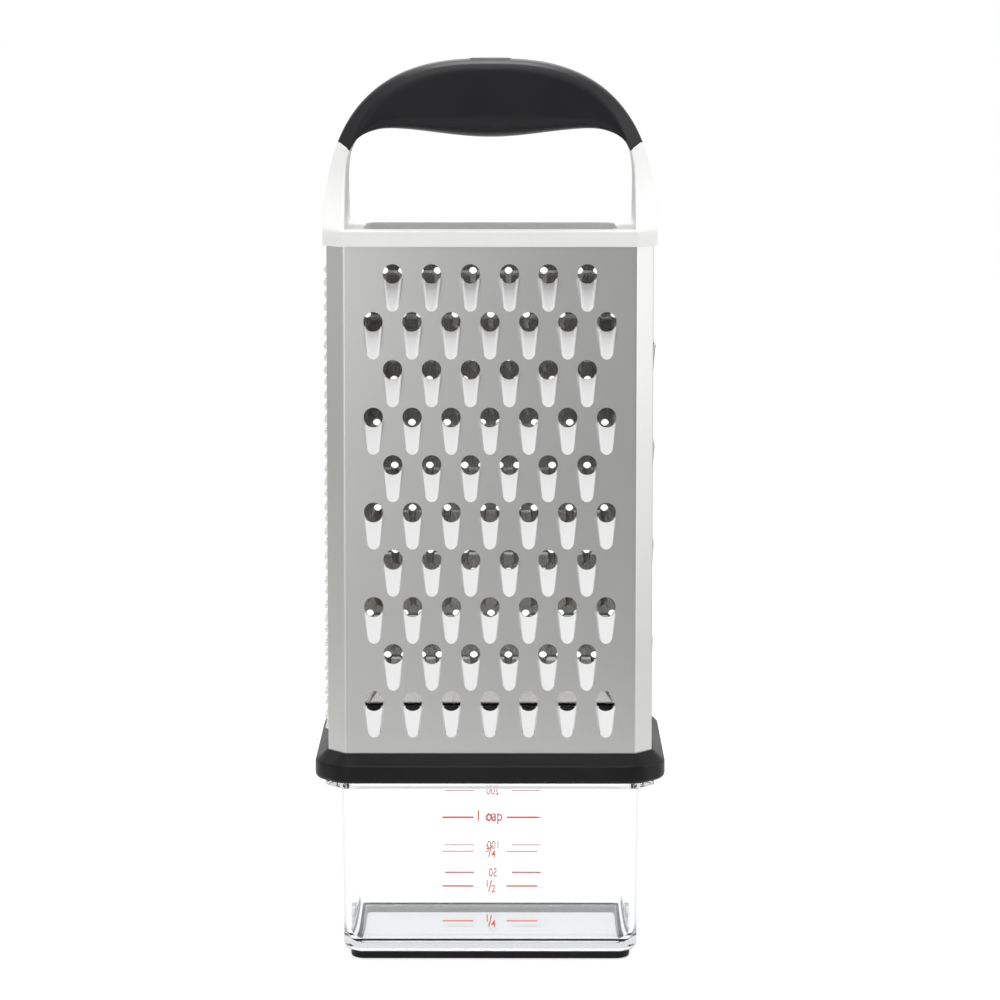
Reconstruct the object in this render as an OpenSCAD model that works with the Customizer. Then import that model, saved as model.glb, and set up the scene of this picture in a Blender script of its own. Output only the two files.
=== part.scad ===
// Box grater standing on its clear measuring container. Millimetres, +Z up.
// The origin is the middle of the container foot's underside. The coarse side faces -Y.

/* [Steel body] */
// Width of the body across its two side sheets
body_w = 105.6; // [96:0.2:120]
// Depth of the body where it goes into the cap
body_top_d = 46.9; // [42:0.1:56]
// Depth of the body where it comes out of the foot ring
body_base_d = 69.7; // [62:0.1:80]
// Height of the steel that shows between the foot ring and the cap
body_h = 163.8; // [140:0.2:190]
// Leg of the 45 degree bevel along each upright corner
corner_leg = 5.65; // [4.5:0.05:7]
// Thickness of the stainless sheet
sheet_t = 0.5; // [0.4:0.05:0.6]
// Width of the seam tab behind each side sheet
seam_w = 4; // [3:0.5:5]

/* [Coarse blades] */
// Distance between neighbouring coarse holes
coarse_pitch_x = 12.53; // [11.5:0.01:13]
// Distance between rows of coarse holes, along the sheet
coarse_pitch_s = 15.36; // [14.5:0.01:16]
// Blades in the longer coarse rows
coarse_cols = 7; // [5:1:7]
// From the cap down to the middle of the first coarse hole
coarse_top_gap = 8.7; // [7:0.1:12]
// Least distance from the foot ring up to the middle of the last coarse hole
coarse_low_gap = 14; // [13.5:0.1:18]
// Diameter of a coarse hole
coarse_hole_d = 6.26; // [5.5:0.02:6.8]
// Width of a coarse blade
coarse_blade_w = 7.07; // [6.5:0.01:8]
// From the middle of a coarse hole down to the blade's tip
coarse_blade_l = 12.1; // [11:0.1:13]
// Height of a coarse cutting edge over the sheet
coarse_blade_h = 2.2; // [1.6:0.1:2.6]

/* [Medium blades] */
// Distance between neighbouring medium holes
medium_pitch_x = 5.94; // [5.6:0.01:6.4]
// Distance between rows of medium holes, along the sheet
medium_pitch_s = 7.43; // [7:0.01:8]
// Blades in the longer medium rows
medium_cols = 15; // [9:1:15]
// From the cap down to the middle of the first medium hole
medium_top_gap = 4.6; // [3.5:0.1:9]
// Least distance from the foot ring up to the middle of the last medium hole
medium_low_gap = 8; // [6:0.1:12]
// Diameter of a medium hole
medium_hole_d = 2.6; // [2.2:0.1:2.9]
// Width of a medium blade
medium_blade_w = 3.7; // [3.3:0.1:4.2]
// From the middle of a medium hole down to the blade's tip
medium_blade_l = 4.6; // [4:0.1:5]
// Height of a medium cutting edge over the sheet
medium_blade_h = 1.1; // [0.8:0.1:1.3]

/* [Fine spikes] */
// Distance between neighbouring fine spikes
fine_pitch_x = 6; // [5:0.1:7]
// Distance between rows of fine spikes
fine_pitch_z = 4.05; // [3.8:0.05:4.6]
// Diameter of the hole through a fine spike
fine_hole_d = 1; // [0.8:0.1:1.2]
// Diameter of a fine spike at its foot
fine_foot_d = 2.4; // [2.2:0.1:2.8]
// Height of a fine spike over the sheet
fine_h = 1.6; // [1.2:0.1:1.8]
// Flat margin round the field of fine spikes
fine_margin = 5; // [4:0.5:8]

/* [Slicing blades] */
// Number of slicing slots
slice_count = 4; // [2:1:4]
// Length of a slicing edge
slice_w = 29; // [22:0.5:31]
// Height of the slot over a slicing edge
slice_slot_h = 4; // [3:0.1:5]
// Length of the ramp that rises to a slicing edge
slice_ramp_l = 14; // [10:0.5:18]
// Height of a slicing edge over the sheet
slice_h = 1.2; // [0.9:0.1:1.4]

/* [Foot ring and base frame] */
// Height of the foot ring
ring_h = 9.3; // [8.4:0.1:11]
// Height of the upright face of the foot ring
ring_face_h = 5.7; // [5:0.1:6.2]
// How far the foot ring stands out from the steel
ring_out = 4.4; // [3.6:0.1:5.4]
// Thickness of the foot ring's lip where it meets the steel
ring_lip = 0.5; // [0.4:0.1:0.8]
// Bevel along the lower edge of the foot ring
ring_edge = 1.2; // [0.8:0.1:1.6]
// Depth of the steel edge inside the foot ring
sheet_sunk = 5.9; // [5:0.1:6.6]
// Wall of the frame inside the steel
frame_wall = 1.6; // [1.2:0.1:2]
// How far the frame rises over the foot ring inside the body
frame_rise = 0.6; // [0.3:0.1:3]
// Width of the frame's ledge outside the steel
frame_ledge = 0.6; // [0.4:0.1:0.8]

/* [Cap] */
// Height of the cap
cap_h = 5.1; // [4.5:0.1:6]
// How far the cap stands out from the steel
cap_out = 1.2; // [0.9:0.1:1.6]
// Depth of the steel edge inside the cap
cap_sunk = 1.5; // [1:0.1:2]
// Width of the opening in the cap
mouth_w = 82; // [70:0.5:84]
// Depth of the opening in the cap
mouth_d = 31; // [26:0.5:32]
// Corner radius of the opening in the cap
mouth_r = 4; // [2:0.5:6]
// How far the cap's collar reaches down inside the body
collar_h = 4; // [3:0.5:6]
// Wall of the cap's collar
collar_wall = 1.4; // [1.2:0.1:1.8]
// Edge bevel along the top of the cap
cap_edge = 0.6; // [0.4:0.1:0.9]

/* [Handle] */
// Height of the handle over the cap
bow_rise = 54; // [48:0.5:60]
// How high the top of the finger gap is over the cap
gap_rise = 32.6; // [28:0.2:34]
// Squareness of the handle's outer curve
bow_square = 2.65; // [2.4:0.05:3]
// Squareness of the finger gap
gap_square = 7; // [5:0.5:8]
// Thickness of a post where it leaves the cap
post_t = 7.2; // [6.5:0.1:8]
// Squareness of a post's section
post_square = 6; // [4:0.5:8]
// Depth of a post where it leaves the cap
post_base_d = 47; // [42:0.5:48]
// Depth of a post where it goes into the grip
post_top_d = 21; // [18:0.5:24]
// Depth of the grip
grip_d = 25; // [23:0.5:28]
// Leg of the bevel along the top edges of the grip, in its middle
grip_facet = 2.5; // [1.5:0.1:5]
// Squareness of the grip's section
grip_square = 4.5; // [3:0.1:6]
// Height over the cap at which the grip starts
grip_start = 27.5; // [25:0.5:29]
// How far the palm swell hangs down in the middle of the grip
palm_swell = 3.6; // [2:0.1:5]
// Skin of the grip over the handle's core
grip_skin = 3.2; // [2.6:0.1:3.8]
// Width of the plain raised badge on the grip
badge_w = 13.4; // [10:0.2:16]
// Height of the badge over the grip
badge_h = 0.3; // [0.2:0.1:0.5]

/* [Container] */
// Height of the container from the foot's underside to the seat of the grater
seat_z = 62.6; // [54:0.2:74]
// Wall of the container
wall_t = 2; // [1.6:0.1:2.4]
// How far the flange stands out past the steel above it
flange_out = 1; // [0.5:0.1:1.6]
// Thickness of the flange
flange_t = 2.2; // [1.8:0.1:2.6]
// From the flange's edge in to the container's side walls
inset_x = 4.7; // [4.4:0.1:6]
// From the flange's edge in to the container's front and back walls
inset_y = 7.1; // [6.8:0.1:9]
// Taper of each wall from the flange down to the floor
draft = 0.6; // [0.3:0.1:1]
// Height of the rim that locates the grater
rim_h = 4.6; // [3.5:0.1:5.5]
// Thickness of the rim
rim_t = 1.8; // [1.4:0.1:2.2]
// Radius of the container's upright corners
wall_r = 7; // [5:0.5:9]
// Radius between the walls and the floor, inside
floor_r = 5; // [4:0.5:6]
// Thickness of the floor
floor_t = 2.1; // [1.8:0.1:2.6]
// Radius along the container's lower edge, outside
base_r = 2; // [1.5:0.1:2.4]
// Height of the non-slip foot
foot_h = 2.8; // [2.2:0.1:3.4]
// Width of the foot's band
foot_w = 2.5; // [2:0.1:5]
// From the container's wall in to the foot
foot_inset = 2.3; // [2.1:0.1:3]
// Corner radius inside the foot's band
foot_in_r = 2; // [1:0.5:3]

/* [Hidden] */
$fn = 48;

// Every cut runs past its faces by this much.
over = 1;
// Gap between pieces that are assembled for good.
fit = 0.05;
// Gap between the grater and the container that it lifts off.
lift_gap = 0.2;
// Sideways gap between the container's rim and the frame.
slide_gap = 0.4;

ring_top = seat_z + ring_h;
cap_z = ring_top + body_h;
cap_top = cap_z + cap_h;
sheet_low = ring_top - sheet_sunk;
sheet_high = cap_z + cap_sunk;
lean = atan((body_base_d - body_top_d) / 2 / body_h);
seat_low = seat_z - lift_gap;

// Half depth of the steel body at height z.
function half_d(z) = body_top_d / 2 + (cap_z - z) * tan(lean);

// A 45 degree corner's leg grows by this share of the distance that its outline moves out.
leg_share = 2 - sqrt(2);

// Bevelled outline, anticlockwise, at height z, moved out by grow, with steps points along each bevel.
function bevelled(half_w, half_depth, leg, steps = 1) = [
    for (q = [0:3], i = [0:steps])
        let (sx = q == 0 || q == 3 ? 1 : -1, sy = q < 2 ? 1 : -1)
        let (f = i / steps, g = q % 2 == 0 ? f : 1 - f)
        [sx * (half_w - leg * g), sy * (half_depth - leg * (1 - g))]
];

// The steel body's outline at height z, moved out by grow.
function body_line(z, grow, steps = 1) =
    bevelled(body_w / 2 + grow, half_d(z) + grow, corner_leg + grow * leg_share, steps);

// Rounded rectangle, anticlockwise, with the same number of points as a bevelled outline.
function rounded(half_w, half_depth, r, steps) = [
    for (q = [0:3], i = [0:steps])
        let (sx = q == 0 || q == 3 ? 1 : -1, sy = q < 2 ? 1 : -1, a = 90 * (q + i / steps))
        [sx * (half_w - r) + r * cos(a), sy * (half_depth - r) + r * sin(a)]
];

function lift(line, z) = [for (p = line) [p[0], p[1], z]];

function flat(lists) = [for (l = lists) for (e = l) e];

// Triangles of the wall between ring k and ring k + 1 of n points each.
// A wall that runs back along another one takes the other diagonals, so that the two don't cross.
function wall_faces(k, n, back = false) = [
    for (i = [0:n - 1])
        let (j = (i + 1) % n, a = k * n, b = (k + 1) * n)
        each back
            ? [[a + i, b + i, a + j], [a + j, b + i, b + j]]
            : [[a + i, b + i, b + j], [a + i, b + j, a + j]]
];

// Closed solid through rings that run from the first end to the last, each anticlockwise seen from it.
module skin(rings) {
    n = len(rings[0]);
    last = (len(rings) - 1) * n;
    ends = [for (i = [1:n - 2]) each [[0, i, i + 1], [last, last + i + 1, last + i]]];
    walls = flat([for (k = [0:len(rings) - 2]) wall_faces(k, n)]);
    polyhedron(points = flat(rings), faces = concat(ends, walls));
}

// Closed ring-shaped solid: the rings run once round its section. From ring turn on they run back.
module hoop(rings, turn = 0) {
    n = len(rings[0]);
    polyhedron(
        points = flat(rings),
        faces = flat([for (k = [0:len(rings) - 1]) [
            for (t = wall_faces(k, n, turn > 0 && k >= turn)) [for (v = t) v % (len(rings) * n)]
        ]])
    );
}

// Places its children on the leaning front: +X across, +Y up the sheet, +Z out, zero on the outer face.
module on_front(drop) {
    z = cap_z - drop;
    translate([0, -half_d(z), z]) rotate([90 - lean, 0, 0]) children();
}

module on_left(z) {
    translate([-body_w / 2, 0, z]) rotate([90, 0, -90]) children();
}

// The front sheet's outer line to the right of the middle, then its inner line, as [x, y] behind the panel.
function sheet_section() = let (
    a = body_w / 2,
    tab_x = a - sheet_t - fit,
    bend = sheet_t * tan(45 / 2),
    outer = [[a - corner_leg, 0], [a, corner_leg], [tab_x, corner_leg], [tab_x, corner_leg + seam_w]],
    inner = [
        [a - corner_leg - bend, sheet_t],
        [tab_x - sheet_t, corner_leg - sheet_t * leg_share - fit],
        [tab_x - sheet_t, corner_leg + seam_w],
    ]
) [outer, inner];

// Bent sheet: the front panel, its two bevels and the seam tabs behind the side sheets.
module bent_sheet() {
    lines = sheet_section();
    right = concat(lines[0], [for (i = [len(lines[1]) - 1:-1:0]) lines[1][i]]);
    outline = concat(right, [for (i = [len(right) - 1:-1:0]) [-right[i][0], right[i][1]]]);
    low = sheet_low - over;
    run = (sheet_high + over - low) / cos(lean) + corner_leg + seam_w;
    intersection() {
        translate([0, -half_d(low), low]) rotate([-lean, 0, 0])
            linear_extrude(height = run) polygon([for (p = outline) [p[0], p[1] * cos(lean)]]);
        translate([-body_w / 2 - over, -body_base_d, sheet_low])
            cube([body_w + 2 * over, 2 * body_base_d, sheet_high - sheet_low]);
    }
}

// Last row, counted from 0, of a field that runs down the front or rear panel.
function last_row(top_gap, low_gap, pitch) = floor((body_h / cos(lean) - top_gap - low_gap) / pitch);

coarse_last = last_row(coarse_top_gap, coarse_low_gap, coarse_pitch_s);
medium_last = last_row(medium_top_gap, medium_low_gap, medium_pitch_s);

// Places in row r of a staggered field, which starts with a row of cols - 1.
function row_x(r, cols, pitch) =
    let (n = r % 2 == 0 ? cols - 1 : cols)
    [for (i = [0:n - 1]) (i - (n - 1) / 2) * pitch];

// Round-backed blade below a hole at the origin. shrink takes its inside off.
module blade_back(hole_d, w, l, h, low, shrink) {
    tilt = atan(h / (l - hole_d / 2));
    r = (w * w / 4 + h * h) / (2 * h);
    shoulder = hole_d / 4;
    intersection() {
        translate([0, -l, 0]) rotate([tilt, 0, 0]) translate([0, -r, -r]) rotate([-90, 0, 0])
            cylinder(r = r - shrink, h = l + 2 * r);
        translate([-w, -l - over, low]) cube([2 * w, l + over - shoulder, r + h]);
    }
}

module coarse_back(low, shrink) {
    blade_back(coarse_hole_d, coarse_blade_w, coarse_blade_l, coarse_blade_h, low, shrink);
}

module front_coarse_sheet() {
    color("#b9bcc0") difference() {
        union() {
            bent_sheet();
            for (r = [0:coarse_last], x = row_x(r, coarse_cols, coarse_pitch_x))
                on_front(coarse_top_gap) translate([x, -r * coarse_pitch_s, 0])
                    coarse_back(-sheet_t / 2, 0);
        }
        for (r = [0:coarse_last], x = row_x(r, coarse_cols, coarse_pitch_x))
            on_front(coarse_top_gap) translate([x, -r * coarse_pitch_s, 0]) {
                coarse_back(-sheet_t - over, sheet_t);
                translate([0, 0, -sheet_t - over])
                    cylinder(d = coarse_hole_d, h = sheet_t + coarse_blade_h + 2 * over);
            }
    }
}

// Width of a medium blade's crest as a share of its foot.
medium_crest_share = 0.5;

// Flat-sided medium blade below a hole at the origin.
module medium_back() {
    w = medium_blade_w / 2;
    crest = w * medium_crest_share;
    shoulder = -medium_hole_d / 4;
    low = -sheet_t / 2;
    polyhedron(
        points = [
            [-w, shoulder, low],
            [-crest, shoulder, medium_blade_h],
            [crest, shoulder, medium_blade_h],
            [w, shoulder, low],
            [0, -medium_blade_l, low],
        ],
        faces = [[0, 2, 1], [0, 3, 2], [0, 1, 4], [1, 2, 4], [2, 3, 4], [3, 0, 4]]
    );
}

module back_medium_sheet() {
    color("#b9bcc0") mirror([0, 1, 0]) difference() {
        union() {
            bent_sheet();
            for (r = [0:medium_last], x = row_x(r, medium_cols, medium_pitch_x))
                on_front(medium_top_gap) translate([x, -r * medium_pitch_s, 0]) medium_back();
        }
        for (r = [0:medium_last], x = row_x(r, medium_cols, medium_pitch_x))
            on_front(medium_top_gap) translate([x, -r * medium_pitch_s, -sheet_t - over])
                cylinder(d = medium_hole_d, h = sheet_t + medium_blade_h + 2 * over);
    }
}

// Half width of a side sheet at height z.
function side_half(z) = half_d(z) - corner_leg - fit;

module side_plate() {
    on_left(0) translate([0, 0, -sheet_t]) linear_extrude(height = sheet_t)
        polygon([
            [-side_half(sheet_low), sheet_low],
            [side_half(sheet_low), sheet_low],
            [side_half(sheet_high), sheet_high],
            [-side_half(sheet_high), sheet_high],
        ]);
}

// Places of the fine spikes: [across, height].
function fine_places() = let (
    low = ring_top + fine_margin,
    rows = floor((cap_z - fine_margin - low) / fine_pitch_z)
) [
    for (r = [0:rows])
        let (z = low + r * fine_pitch_z, half = side_half(z) - fine_margin)
        let (shift = r % 2 == 0 ? 0 : fine_pitch_x / 2, n = floor((half - shift) / fine_pitch_x))
        for (i = [-n - (r % 2 == 0 ? 0 : 1):n]) [i * fine_pitch_x + shift, z]
];

module left_fine_sheet() {
    color("#aeb1b5") difference() {
        union() {
            side_plate();
            for (p = fine_places())
                on_left(p[1]) translate([p[0], 0, -sheet_t / 2])
                    cylinder(d1 = fine_foot_d, d2 = fine_hole_d + sheet_t, h = fine_h + sheet_t / 2);
        }
        for (p = fine_places())
            on_left(p[1]) translate([p[0], 0, -sheet_t - over])
                cylinder(d = fine_hole_d, h = fine_h + sheet_t + 2 * over);
    }
}

// Ramp that rises to a slicing edge at the origin, with its underside at low.
module slice_ramp(low, shrink, half_w) {
    rise = atan(slice_h / slice_ramp_l);
    intersection() {
        translate([-half_w, -slice_ramp_l, -shrink]) rotate([rise, 0, 0])
            translate([0, -over, -slice_ramp_l]) cube([2 * half_w, 2 * slice_ramp_l, slice_ramp_l]);
        translate([-half_w, -slice_ramp_l - over, low])
            cube([2 * half_w, slice_ramp_l + over, slice_h - low + over]);
    }
}

module right_slicing_sheet() {
    pitch = body_h / (slice_count + 1);
    color("#b9bcc0") mirror([1, 0, 0]) difference() {
        union() {
            side_plate();
            for (i = [1:slice_count]) on_left(ring_top + i * pitch)
                slice_ramp(-sheet_t / 2, 0, slice_w / 2);
        }
        for (i = [1:slice_count]) on_left(ring_top + i * pitch) {
            slice_ramp(-sheet_t - over, sheet_t, slice_w / 2 - sheet_t);
            translate([-slice_w / 2, 0, -sheet_t - over])
                cube([slice_w, slice_slot_h, sheet_t + slice_h + 2 * over]);
        }
    }
}

// Points along each bevel or rounded corner of a hoop, less one.
corner_steps = 6;

// Gap from the steel's outer face in to what stands behind the seam tabs.
behind_tabs = 2 * (sheet_t + fit);

module base_frame() {
    top = ring_top + frame_rise;
    inner = -behind_tabs - frame_wall;
    color("#232326") hoop([
        lift(body_line(seat_z, frame_ledge), seat_z),
        lift(body_line(sheet_low, frame_ledge), sheet_low),
        lift(body_line(sheet_low, -behind_tabs), sheet_low),
        lift(body_line(top, -behind_tabs), top),
        lift(body_line(top, inner), top),
        lift(body_line(seat_z, inner), seat_z),
    ]);
}

module foot_ring() {
    face_top = seat_z + ring_face_h;
    edge_top = seat_z + ring_edge;
    color("#27272a") hoop([
        lift(body_line(seat_z, ring_out - ring_edge), seat_z),
        lift(body_line(edge_top, ring_out), edge_top),
        lift(body_line(face_top, ring_out), face_top),
        lift(body_line(ring_top, fit + ring_lip), ring_top),
        lift(body_line(ring_top, fit), ring_top),
        lift(body_line(sheet_low, fit), sheet_low),
        lift(body_line(sheet_low, frame_ledge + fit), sheet_low),
        lift(body_line(seat_z, frame_ledge + fit), seat_z),
    ]);
}

module cap() {
    steps = corner_steps;
    low = cap_z - collar_h;
    inner = -behind_tabs - collar_wall;
    mouth = rounded(mouth_w / 2, mouth_d / 2, mouth_r, steps);
    hoop([
        lift(body_line(cap_z, cap_out, steps), cap_z),
        lift(body_line(cap_z, cap_out, steps), cap_top - cap_edge),
        lift(body_line(cap_z, cap_out - cap_edge, steps), cap_top),
        lift(mouth, cap_top),
        lift(mouth, sheet_high),
        lift(body_line(sheet_high, inner, steps), sheet_high),
        lift(body_line(low, inner, steps), low),
        lift(body_line(low, -behind_tabs, steps), low),
        lift(body_line(sheet_high, -behind_tabs, steps), sheet_high),
        lift(body_line(sheet_high, fit, steps), sheet_high),
        lift(body_line(cap_z, fit, steps), cap_z),
    ]);
}

// The handle's arches are measured from the middle of the cap's underside, by the angle of a ray.
bow_half = body_w / 2 + cap_out;
bow_high = cap_h + bow_rise;
gap_half = bow_half - post_t;
gap_high = cap_h + gap_rise;

// Distance along the ray at angle a to a squared-off arch.
function arch(a, half, high, square) =
    pow(pow(abs(cos(a)) / half, square) + pow(abs(sin(a)) / high, square), -1 / square);

// Angle at which the handle's outer arch is at height h.
function bow_angle(h) = atan2(h, bow_half * pow(1 - pow(h / bow_high, bow_square), 1 / bow_square));

foot_angle = asin((cap_sunk + cap_h) / 2 / bow_half);
grip_angle = bow_angle(cap_h + grip_start);

function bow_outer(a) = arch(a, bow_half, bow_high, bow_square);

// The palm swell runs over this share of the finger gap's width.
swell_share = 0.78;

function bow_inner(a) = let (
    x = gap_high / tan(a) / (gap_half * swell_share),
    swell = abs(x) < 1 ? palm_swell * pow(1 - x * x, 3 / 2) : 0
) arch(a, gap_half, gap_high, gap_square) - swell;

// Depth shares: a post narrows quickly over the cap, then slowly.
post_narrow_share = 1.6;

function post_half(a) = let (
    h = bow_outer(a) * sin(a) - cap_h,
    f = min(max(h / grip_start, 0), 1)
) (post_top_d + (post_base_d - post_top_d) * pow(1 - f, post_narrow_share)) / 2;

// How far round the grip angle a is: 0 at either end and 1 in the middle.
function grip_share(a) = max(sin(180 * (a - grip_angle) / (180 - 2 * grip_angle)), 0);

function grip_half(a) = (post_top_d + (grip_d - post_top_d) * sqrt(grip_share(a))) / 2;

// Leg of the 45 degree facet on the outer edges, which carries the cap's corner bevels upward.
function facet(a) = post_t + (grip_facet - post_t) * grip_share(a);

section_points = 24;

// Section across the ray at angle a, from in to out along it and half deep to each side.
function bow_section(a, in, out, half, leg, square) = [
    for (i = [0:section_points - 1])
        let (t = 360 * (i + 1 / 2) / section_points, c = cos(t), s = sin(t))
        let (u = sign(c) * pow(abs(c), 2 / square), v = sign(s) * pow(abs(s), 2 / square))
        let (r = (in + out) / 2 + u * (out - in) / 2, start = max(out - leg, in))
        [r * cos(a), v * (half - max(r - start, 0)), cap_z + r * sin(a)]
];

post_steps = 7;
grip_steps = 24;
post_angles = [for (i = [0:post_steps]) foot_angle + (grip_angle - foot_angle) * i / post_steps];
grip_angles = [for (i = [0:grip_steps]) grip_angle + (180 - 2 * grip_angle) * i / grip_steps];

function post_rings(angles) =
    [for (a = angles) bow_section(a, bow_inner(a), bow_outer(a), post_half(a), facet(a), post_square)];

// Rings inside the grip, at a depth under its skin.
function core_rings(depth) = [
    for (a = grip_angles)
        let (in = bow_inner(a) + depth, out = bow_outer(a) - depth, leg = facet(a) - depth * leg_share)
        bow_section(a, in, out, grip_half(a) - depth, leg, grip_square)
];

module handle_frame() {
    other = [for (i = [post_steps:-1:0]) 180 - post_angles[i]];
    color("#f2f2f0") {
        cap();
        skin(concat(post_rings(post_angles), core_rings(grip_skin), post_rings(other)));
    }
}

module handle_grip() {
    inside = core_rings(grip_skin - fit);
    color("#2a2a2e") {
        hoop(concat(core_rings(0), [for (i = [grip_steps:-1:0]) inside[i]]), grip_steps + 1);
        translate([0, 0, cap_z + bow_high - grip_skin / 2])
            cylinder(d = badge_w, h = grip_skin / 2 + badge_h);
    }
}

flange_half_w = body_w / 2 + flange_out;
flange_half_d = half_d(seat_z) + flange_out;
flange_leg = corner_leg + flange_out * leg_share;
floor_z = foot_h + floor_t;

// The container's outer wall at height z, moved in by inset.
function wall_line(z, inset) =
    let (e = inset + draft * (seat_low - z) / (seat_low - foot_h))
    lift(rounded(flange_half_w - inset_x - e, flange_half_d - inset_y - e, wall_r - inset, corner_steps), z);

// A fillet of radius r in steps, from the floor at z up to the wall, both inset.
function fillet(z, inset, r) = [
    for (i = [0:corner_steps])
        let (a = 90 * i / corner_steps)
        wall_line(z + r * (1 - cos(a)), inset + r * (1 - sin(a)))
];

module container() {
    steps = corner_steps;
    flange = bevelled(flange_half_w, flange_half_d, flange_leg, steps);
    flange_low = seat_low - flange_t;
    rim_top = seat_z + rim_h;
    rim_in = -behind_tabs - frame_wall - slide_gap;
    rim_out_line = body_line(rim_top, rim_in, steps);
    rim_in_line = body_line(rim_top, rim_in - rim_t, steps);
    inside = fillet(floor_z, wall_t, floor_r);
    color([0.82, 0.88, 0.9, 0.4]) skin(concat(
        fillet(foot_h, 0, base_r),
        [
            wall_line(flange_low, 0),
            lift(flange, flange_low),
            lift(flange, seat_low),
            lift(rim_out_line, seat_low),
            lift(rim_out_line, rim_top),
            lift(rim_in_line, rim_top),
            lift(rim_in_line, seat_low),
            wall_line(flange_low, wall_t),
        ],
        [for (i = [corner_steps:-1:0]) inside[i]]
    ));
}

module foot_outline(inset) {
    x = flange_half_w - inset_x - draft - inset;
    y = flange_half_d - inset_y - draft - inset;
    polygon(rounded(x, y, max(wall_r - inset, foot_in_r), corner_steps));
}

module container_foot() {
    color("#27272a") linear_extrude(foot_h) difference() {
        foot_outline(foot_inset);
        foot_outline(foot_inset + foot_w);
    }
}

front_coarse_sheet();
back_medium_sheet();
left_fine_sheet();
right_slicing_sheet();
handle_frame();
handle_grip();
base_frame();
foot_ring();
container();
container_foot();
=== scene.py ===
import math

import bmesh
import bpy
import numpy as np
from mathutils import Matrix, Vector
from mathutils.geometry import delaunay_2d_cdt

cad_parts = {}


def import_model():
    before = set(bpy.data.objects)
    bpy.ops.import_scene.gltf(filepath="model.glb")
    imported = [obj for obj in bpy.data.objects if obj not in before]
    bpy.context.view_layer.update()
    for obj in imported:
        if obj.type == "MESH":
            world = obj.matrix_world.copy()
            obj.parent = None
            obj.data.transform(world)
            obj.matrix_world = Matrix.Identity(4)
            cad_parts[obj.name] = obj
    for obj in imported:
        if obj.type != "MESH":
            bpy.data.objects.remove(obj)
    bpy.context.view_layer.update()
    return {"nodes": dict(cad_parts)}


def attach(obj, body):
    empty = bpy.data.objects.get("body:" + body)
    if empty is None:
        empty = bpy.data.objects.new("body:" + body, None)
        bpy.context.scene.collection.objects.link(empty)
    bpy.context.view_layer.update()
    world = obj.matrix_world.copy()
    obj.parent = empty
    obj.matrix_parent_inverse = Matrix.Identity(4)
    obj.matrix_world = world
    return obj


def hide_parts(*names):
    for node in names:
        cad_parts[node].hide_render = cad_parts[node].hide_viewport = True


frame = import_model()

MM = 0.001
CATCHER, GRATER = "catcher", "grater"

# Driving sizes

SEAT_Z = 62.6  # from the floor to the underside of the foot ring
RING_H = 9.3
BODY_H = 163.8  # steel that shows between the foot ring and the cap
CAP_H = 5.1
BODY_W = 105.6
BODY_TOP_D = 46.9
BODY_BASE_D = 69.7
CORNER_LEG = 5.65  # leg of the body's 45 degree corners
SHEET_T = 0.5
SHEET_SUNK = 5.9  # steel hidden in the foot ring
CAP_SUNK = 1.5  # steel hidden in the cap
SHEET_CLEAR = 0.05  # from the steel to the mouldings round it

RING_TOP = SEAT_Z + RING_H
CAP_Z = RING_TOP + BODY_H
CAP_TOP = CAP_Z + CAP_H
SHEET_LOW = RING_TOP - SHEET_SUNK
SHEET_HIGH = CAP_Z + CAP_SUNK
HALF_W = BODY_W / 2
LEAN = math.atan((BODY_BASE_D - BODY_TOP_D) / 2 / BODY_H)
# A 45 degree corner's leg grows by this share of the distance that its outline moves out.
LEG_SHARE = 2 - math.sqrt(2)


def half_depth(z):
    """Half depth of the steel body at height z."""
    return BODY_TOP_D / 2 + (CAP_Z - z) * math.tan(LEAN)


# Mesh helpers

WELD, SLIVER, TINY = 0.004, 0.001, 1e-6
SQUARE_ON = 0.99999  # how squarely a face has to look along flat_way to be shaded flat
MOST_OF_SIDE = 0.49  # the share of a side that a rounded corner may take


def turned(points, quarters):
    """Points turned about Z by quarter turns, anticlockwise."""
    a = math.pi / 2 * quarters
    c, s = round(math.cos(a)), round(math.sin(a))
    return [(c * x - s * y, s * x + c * y, z) for x, y, z in points]


def make(name, points, faces, looks, face_looks=None, sharp=32, wall=0, flat_way=None):
    """A mesh object from points in millimetres, as a solid or as an open sheet with a wall to be added.

    face_looks picks one of the looks for each face. Edges over the angle sharp stay sharp."""
    mesh = bpy.data.meshes.new(name)
    mesh.from_pydata([(x * MM, y * MM, z * MM) for x, y, z in points], [], faces)
    for look in looks:
        mesh.materials.append(look)
    if face_looks is not None:
        mesh.polygons.foreach_set("material_index", face_looks)
    bm = bmesh.new()
    bm.from_mesh(mesh)
    bmesh.ops.remove_doubles(bm, verts=bm.verts, dist=WELD * MM)
    bmesh.ops.dissolve_degenerate(bm, edges=bm.edges, dist=SLIVER * MM)
    bm.to_mesh(mesh)
    bm.free()
    piece = bpy.data.objects.new(name, mesh)
    bpy.context.scene.collection.objects.link(piece)
    if wall:
        thicken(piece, wall)
    finish_shading(piece, sharp, flat_way)
    return piece


def bake_modifiers(piece):
    """Puts what the modifiers make into the mesh itself."""
    graph = bpy.context.evaluated_depsgraph_get()
    mesh = bpy.data.meshes.new_from_object(piece.evaluated_get(graph))
    piece.modifiers.clear()
    piece.data = mesh


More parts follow.
